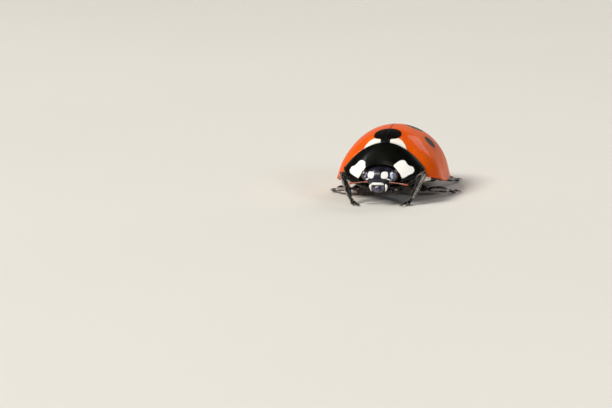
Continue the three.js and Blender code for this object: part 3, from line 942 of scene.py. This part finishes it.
def makeEyePaint(setup):
    material, tree, shader, place = newMaterial("compoundEye")
    paintedReflection, dark, brown = (hexColour(setup[key]) for key in ("paintedReflection", "dark", "brown"))
    folded = foldedPlace(tree, place)
    ax = addNode(tree, "SeparateXYZ", (folded,)).outputs["X"]
    pigment = layer(tree, dark, brown, ax, setup["brownFrom"] * mm, setup["brownTo"] * mm, fade="LINEAR")
    # the painted reflection: a broken pale blue-grey patch on the front of each eye, towards the brow
    centre = Vector(eyeShape["centre"]) + Vector(setup["reflectionCentre"])
    reach = patchReach(tree, folded, centre, setup["reflectionRadii"])
    reach = roughened(tree, reach, place, setup["reflectionGrain"], setup["reflectionWobble"], 4)
    facets = addNode(tree, "TexVoronoi", {"Vector": place, "Scale": 1 / (setup["facet"] * mm),
                                          "Randomness": 0.12})
    height = addNode(tree, "Math", (facets, -setup["facetDepth"] * mm), operation="MULTIPLY")
    feed(shader, {"Base Color": layer(tree, pigment, paintedReflection, reach, 1.25, 0.55),
                  "Roughness": 0.22, "IOR": 1.5, "Coat Weight": 0.8, "Coat Roughness": 0.1,
                  "Normal": addNode(tree, "Bump", {"Height": height, "Distance": 1.0})})
    return material


def makeEyes(setup):
    cornea = makeEyePaint(eyePaint)
    cx, cy, cz = setup["centre"]
    rx, ry, rz = setup["radii"]
    for sideName, side in sides:
        bm = bmesh.new()
        addBall(bm, 48, 32, lambda x, y, z: ((cx + rx * x) * side, cy + ry * y, cz + rz * z))
        turnHead(bm)
        finishPiece("compoundEye_" + sideName, bm, cornea, "eye_" + sideName)


# Pale unpigmented chitin of the mouth edge: smooth, and faintly yellow where it is thick.
mouthPaint = {
    "light": "#ffffff", "dark": "#f8f3e8", "clouds": 0.12, "grain": 0.04, "swell": 0.002,
    "finish": {"Roughness": 0.32, "IOR": 1.54, "Coat Weight": 0.3, "Coat Roughness": 0.2},
}


def makeIvory(setup):
    material, tree, shader, place = makeMottled("paleChitin", setup)
    feed(shader, {"Normal": relief(tree, place, setup["grain"], setup["swell"])})
    return material


def makeClypeus(setup, ivory):
    # a bar bent over the upper lip, rounded at both ends
    def place(x, y, z):
        angle = math.atan2(y, x)
        end = max(1 - abs(z) ** 6, 0) ** 0.5
        forward = setup["bow"] * z * z + 0.10 - setup["thickness"] * math.cos(angle) * end
        rise = setup["height"] * (0.5 + 0.5 * math.sin(angle) * end) - setup["droop"] * abs(z) ** 4
        return z * setup["halfWidth"], setup["frontY"] + forward, setup["bottomZ"] + rise

    bm = bmesh.new()
    addBall(bm, 40, 48, place)
    turnHead(bm)
    finishPiece("clypeusBand", bm, ivory, "clypeus")


def makeLabrum(setup):
    cx, cy, cz = setup["centre"]
    rx, ry, rz = setup["radii"]

    def place(x, y, z):
        notch = setup["notch"] * (1 - smooth(0, 0.3, abs(x))) * smooth(0.4, 1, -z)
        return cx + rx * x * (1 + setup["taper"] * z), cy + ry * y, cz + rz * z + notch

    bm = bmesh.new()
    addBall(bm, 56, 40, place)
    turnHead(bm)
    finishPiece("labrumPlate", bm, makeBlackChitin("labrum")[0], "labrum")


def makeJaws(setup, ivory):
    for sideName, side in sides:
        ends = [Vector((x * side + setup["shift"], y, z)) for x, y, z in (setup["top"], setup["bottom"])]
        bm = bmesh.new()
        addLimb(bm, limbOf(*ends, setup["radii"], setup["flatten"], setup["bow"], (side, 0, 0), endPower=6))
        turnHead(bm)
        finishPiece("mandible_" + sideName + "_jaw", bm, ivory, "mandible_" + sideName)


def makeLipFringe(setup):
    cy, cz = labrumShape["centre"][1], labrumShape["centre"][2] - setup["below"]
    fringe = limbOf((-setup["halfWidth"], cy, cz), (setup["halfWidth"], cy, cz), setup["radii"])
    bm = bmesh.new()
    addLimbSetae(bm, fringe, setup["count"], setup["length"], setup["radius"], 0.0, setup["cell"],
                 (0.05, 0.95), setup["angles"])
    turnHead(bm)
    finishSetae("labrumSetae", bm)


makeHead()
makeEyes(eyeShape)
paleChitin = makeIvory(mouthPaint)
makeClypeus(clypeusShape, paleChitin)
makeLabrum(labrumShape)
makeJaws(jawShape, paleChitin)
makeLipFringe(lipFringe)
print("head made")


# ---- antennae and palps

antennaShape = {
    "path": [(0.54, -3.3, rimZ + 0.57), (0.8, -3.43, rimZ + 0.575),
             (1.15, -3.46, rimZ + 0.535), (1.54, -3.40, rimZ + 0.46)],
    # length and radius of the eleven segments, from the head outwards; the last three are the club
    "lengths": [1.7, 1.0, 1.3, 0.95, 0.9, 0.75, 0.75, 0.7, 0.95, 1.0, 1.05],
    "radii": [0.042, 0.034, 0.023, 0.023, 0.023, 0.024, 0.026, 0.03, 0.038, 0.043, 0.037],
    "brown": "#b87a62", "clubBrown": "#c04c10", "clubFrom": 1.1, "clubTo": 1.4,
    "grain": 0.03, "swell": 0.0015,
}
palpShape = {
    "path": [(0.24, -3.08, rimZ + 0.3), (0.47, -3.3, rimZ + 0.17),
             (0.76, -3.4, rimZ + 0.14), (1.1, -3.42, rimZ + 0.1)],
    "lengths": [1.0, 1.1, 0.8, 1.4], "radii": [0.09, 0.08, 0.08, 0.15],
}


def pathPlace(points, share):
    # a smooth curve through the points
    at = min(max(share, 0), 1) * (len(points) - 1)
    i = min(int(at), len(points) - 2)
    f = at - i
    p = [Vector(points[min(max(j, 0), len(points) - 1)]) for j in (i - 1, i, i + 1, i + 2)]
    return 0.5 * ((2 * p[1]) + (p[2] - p[0]) * f + (2 * p[0] - 5 * p[1] + 4 * p[2] - p[3]) * f * f
                  + (3 * p[1] - p[0] - 3 * p[2] + p[3]) * f ** 3)


def makeAntennaPaint(setup):
    # thin brown chitin that lets light through, redder towards the club
    material, tree, shader, place = newMaterial("antennaChitin")
    ax = addNode(tree, "SeparateXYZ", (foldedPlace(tree, place),)).outputs["X"]
    colour = layer(tree, hexColour(setup["brown"]), hexColour(setup["clubBrown"]), ax,
                   setup["clubFrom"] * mm, setup["clubTo"] * mm)
    feed(shader, {"Base Color": colour, "Roughness": 0.36, "IOR": 1.55, "Coat Weight": 0.2,
                  "Normal": relief(tree, place, setup["grain"], setup["swell"])})
    return material


def addFeeler(bm, setup, side, axe=False):
    # a palp's last segment is a flat axe blade
    total, done = sum(setup["lengths"]), 0
    for i, (length, radius) in enumerate(zip(setup["lengths"], setup["radii"])):
        a = pathPlace(setup["path"], done / total)
        done += length
        b = pathPlace(setup["path"], done / total)
        a, b = Vector((a.x * side, a.y, a.z)), Vector((b.x * side, b.y, b.z))
        if axe and i == len(setup["lengths"]) - 1:
            axeRadii = [radius * 0.5, radius * 0.9, radius * 1.1, radius]
            addLimb(bm, limbOf(a, b, axeRadii, flatten=0.5, upward=(0, -1, 0), endPower=9))
        else:
            widths = [radius * 0.7, radius * 0.9, radius * 1.05, radius]
            addLimb(bm, limbOf(a, b, widths, endPower=7), around=16, rings=14)


def makeFeelers():
    brown, black = makeAntennaPaint(antennaShape), makeBlackChitin("palp")[0]
    for sideName, side in sides:
        for kind, shape, chitin in (("antenna", antennaShape, brown), ("palp", palpShape, black)):
            bm = bmesh.new()
            addFeeler(bm, shape, side, axe=kind == "palp")
            turnHead(bm)
            finishPiece(kind + "_" + sideName + "_segments", bm, chitin, kind + "_" + sideName)


makeFeelers()
print("feelers made")


# ---- legs

# each pair shares its coxa and hip, given for the left side; then each leg's knee, ankle and toe
legs = {
    "front": {
        "coxa": (0.62, -2.35, rimZ + 0.14), "hip": (0.8, -2.48, rimZ + 0.1),
        "left": [(2.22, -2.82, rimZ + 0.98), (1.55, -3.06, 0.33), (1.22, -3.46, 0.05)],
        "right": [(-2.12, -2.74, rimZ + 0.95), (-1.62, -3.04, 0.33), (-1.25, -3.42, 0.05)],
    },
    "middle": {
        "coxa": (0.8, -0.75, rimZ + 0.14), "hip": (0.95, -0.82, rimZ - 0.08),
        "left": [(1.98, -1.3, rimZ - 0.22), (2.88, -0.66, 0.24), (3.24, -0.22, 0.14)],
        "right": [(-1.98, -1.22, rimZ - 0.22), (-2.9, -0.5, 0.24), (-3.24, -0.02, 0.14)],
    },
    "hind": {
        "coxa": (0.85, 0.85, rimZ + 0.14), "hip": (1.0, 0.92, rimZ - 0.08),
        "left": [(1.98, 1.4, rimZ - 0.22), (2.68, 2.2, 0.24), (2.84, 2.74, 0.14)],
        "right": [(-1.98, 1.3, rimZ - 0.22), (-2.74, 2.04, 0.24), (-2.96, 2.56, 0.14)],
    },
}
legShape = {
    "coxaRadii": (0.4, 0.27, 0.25), "trochanter": [0.1, 0.14, 0.1],
    "femur": [0.13, 0.19, 0.22, 0.2, 0.13], "femurFlat": 0.8,
    "tibia": [0.10, 0.13, 0.145, 0.155, 0.14], "tibiaBow": 0.04,
    "spur": [0.025, 0.02, 0.008], "spurSpread": 0.06, "spurReach": 0.10, "spurDrop": 0.13,
}
footShape = {
    # shares of the way from ankle to toe, and heights above the floor
    "middleShare": 0.36, "padShare": 0.74, "middleZ": 0.12, "padZ": 0.09, "rootZ": 0.1, "rootReach": 0.24,
    "firstSegment": [0.055, 0.075, 0.105, 0.11],
    "lobe": [0.06, 0.12, 0.135, 0.11], "lobeSpread": 0.05, "lobeReach": 0.03, "lobeZ": 0.065,
    "clawSegment": [0.03, 0.038, 0.05, 0.055], "clawLift": 0.035,
    "claw": [0.03, 0.024, 0.015, 0.006], "clawLength": 0.17, "clawSpread": 0.08, "clawZ": 0.012,
    "tooth": [0.016, 0.012, 0.004], "toothLength": 0.05,
}
# hairs: short on the femur, a dense fringe along both sides of the tibia, a brush under the foot
legHairs = {
    "femur": {"count": 120, "length": 0.09, "radius": 0.004, "lean": 1.1},
    "tibia": {"count": 90, "length": 0.09, "radius": 0.004, "lean": 1.15, "shares": (0.1, 0.97)},
    "fringe": {"count": 190, "length": 0.12, "radius": 0.006, "lean": 1.0, "shares": (0.06, 0.97)},
    "first": {"count": 60, "length": 0.08, "radius": 0.0035, "lean": 0.9},
    "lobe": {"count": 70, "length": 0.06, "radius": 0.0035, "lean": 0.7, "shares": (0.3, 0.95)},
    "fringeSpread": 0.32,
}
straightUp = Vector((0, 0, 1))


def standOnFloor(bm):
    for vert in bm.verts:
        vert.co.z = max(vert.co.z, 0)


def makeCoxa(name, leg, setup):
    rx, ry, rz = setup["coxaRadii"]
    bm = bmesh.new()
    addBall(bm, 28, 20, lambda x, y, z: leg["coxa"] + Vector((x * rx, y * ry, z * rz)))
    finishPiece("coxa_" + name + "_plate", bm, legChitin, "coxa_" + name)


def makeFemur(name, leg, setup):
    hip, knee = leg["hip"], leg["knee"]
    femur = limbOf(hip, knee, setup["femur"], flatten=setup["femurFlat"])
    bm = bmesh.new()
    addLimb(bm, femur, around=28, rings=28)
    addLimb(bm, limbOf(mix(leg["coxa"], hip, 0.4), mix(hip, knee, 0.18), setup["trochanter"]))
    finishPiece("femur_" + name + "_limb", bm, legChitin, "femur_" + name)
    return femur


def makeTibia(name, leg, setup):
    tibia = limbOf(leg["knee"], leg["ankle"], setup["tibia"], bow=setup["tibiaBow"], endPower=7)
    bm = bmesh.new()
    addLimb(bm, tibia, around=24, rings=28)
    for sign in (1, -1):
        start = mix(leg["knee"], leg["ankle"], 0.94) + leg["side"] * sign * setup["spurSpread"]
        tip = start + leg["ahead"] * setup["spurReach"] - straightUp * setup["spurDrop"]
        addLimb(bm, limbOf(start, tip, setup["spur"]), 10, 10)
    finishPiece("tibia_" + name + "_limb", bm, legChitin, "tibia_" + name)
    return tibia


def makeFoot(name, leg, setup):
    # the ankle, the middle joint, the pad that stands on the floor, and the claws' root
    ankle, ahead, side = leg["ankle"], leg["ahead"], leg["side"]
    middle = ankle + ahead * leg["footLength"] * setup["middleShare"]
    pad = ankle + ahead * leg["footLength"] * setup["padShare"]
    root = ankle + ahead * (leg["footLength"] * setup["padShare"] + setup["rootReach"])
    middle.z, pad.z, root.z = mix(ankle.z, setup["middleZ"], 0.55), setup["padZ"], setup["rootZ"]
    bm = bmesh.new()
    first = limbOf(ankle, middle, setup["firstSegment"], flatten=0.75, endPower=6)
    addLimb(bm, first)
    lobes = []
    for sign in (1, -1):
        tip = pad + ahead * setup["lobeReach"] + side * sign * setup["lobeSpread"]
        tip.z = setup["lobeZ"]
        lobes.append(limbOf(mix(ankle, middle, 0.9), tip, setup["lobe"], flatten=0.5))
        addLimb(bm, lobes[-1])
    clawStart = mix(middle, pad, 0.55) + straightUp * setup["clawLift"]
    addLimb(bm, limbOf(clawStart, root, setup["clawSegment"], bow=0.03, endPower=6))
    for sign in (1, -1):
        start = root - ahead * 0.03 + side * sign * 0.02
        tip = root + ahead * setup["clawLength"] + side * sign * setup["clawSpread"]
        tip.z = setup["clawZ"]
        addLimb(bm, limbOf(start, tip, setup["claw"], bow=0.05), 10, 14)
        tooth = mix(start, tip, 0.45) + straightUp * 0.03
        addLimb(bm, limbOf(tooth, tooth + (ahead - straightUp) * setup["toothLength"], setup["tooth"]), 8, 8)
    standOnFloor(bm)
    finishPiece("tarsus_" + name + "_foot", bm, legChitin, "tarsus_" + name)
    return first, lobes


def makeLegSetae(name, limbs, row, setup):
    # each limb has its own square of the unwrap, in the leg's own row
    femur, tibia, first, lobes = limbs
    rowUp = row / 6
    spread = setup["fringeSpread"]
    bm = bmesh.new()
    addLimbSetae(bm, femur, **setup["femur"], cell=(0, rowUp, 0.15))
    addLimbSetae(bm, tibia, **setup["tibia"], cell=(0.25, rowUp, 0.15))
    for angle in (0, math.pi):
        addLimbSetae(bm, tibia, **setup["fringe"], cell=(0.25, rowUp, 0.15),
                     angles=(angle - spread, angle + spread))
    addLimbSetae(bm, first, **setup["first"], cell=(0.5, rowUp, 0.15))
    for i, lobe in enumerate(lobes):
        addLimbSetae(bm, lobe, **setup["lobe"], cell=(0.75 + 0.1 * i, rowUp, 0.07))
    standOnFloor(bm)
    finishSetae("setae_" + name, bm)


def makeLegs():
    row = 0
    for pairName, pair in legs.items():
        for sideName, side in sides:
            name = pairName + "_" + sideName
            leg = {key: Vector(place) for key, place in zip(("knee", "ankle", "toe"), pair[sideName])}
            for key in ("coxa", "hip"):
                x, y, z = pair[key]
                leg[key] = Vector((x * side, y, z))
            run = leg["toe"] - leg["ankle"]
            run.z = 0
            leg["footLength"], leg["ahead"] = run.length, run.normalized()
            leg["side"] = leg["ahead"].cross(straightUp)
            makeCoxa(name, leg, legShape)
            femur, tibia = makeFemur(name, leg, legShape), makeTibia(name, leg, legShape)
            first, lobes = makeFoot(name, leg, footShape)
            makeLegSetae(name, (femur, tibia, first, lobes), row, legHairs)
            row += 1


makeLegs()
print("legs made")


# ---- floor

# in millimetres: flat as far as bendAt, then a soft curve up
floorShape = {"width": 1600, "length": 1200, "near": -500, "bendAt": 350, "radius": 120.0}
# painted board: matt, with hardly any pattern
boardPaint = {"light": "#e9e7e1", "dark": "#e3e1da", "clouds": 30, "finish": {"Roughness": 0.7}}
room = {"colour": "#f2f1ee", "strength": 0.11}


def makeStage(setup):
    board = makeMottled("paleBoard", boardPaint)[0]
    bendAt, radius = setup["bendAt"], setup["radius"]

    def place(u, v):
        away = v * setup["length"] + setup["near"]
        turn = min(max(away - bendAt, 0) / radius, math.pi / 2)
        rise = max(away - bendAt - radius * math.pi / 2, 0)
        y = min(away, bendAt) + radius * math.sin(turn)
        return (u - 0.5) * setup["width"], y, radius * (1 - math.cos(turn)) + rise

    bm = gridOf(4, 48)
    warp(bm, place)
    bmesh.ops.recalc_face_normals(bm, faces=bm.faces)
    newObject("floor", bm, board)


def makeRoom(setup):
    world = bpy.data.worlds.new("room")
    world.use_nodes = True
    feed(world.node_tree.nodes["Background"],
         {"Color": hexColour(setup["colour"]), "Strength": setup["strength"]})
    scene.world = world


makeStage(floorShape)
makeRoom(room)
print("floor made")
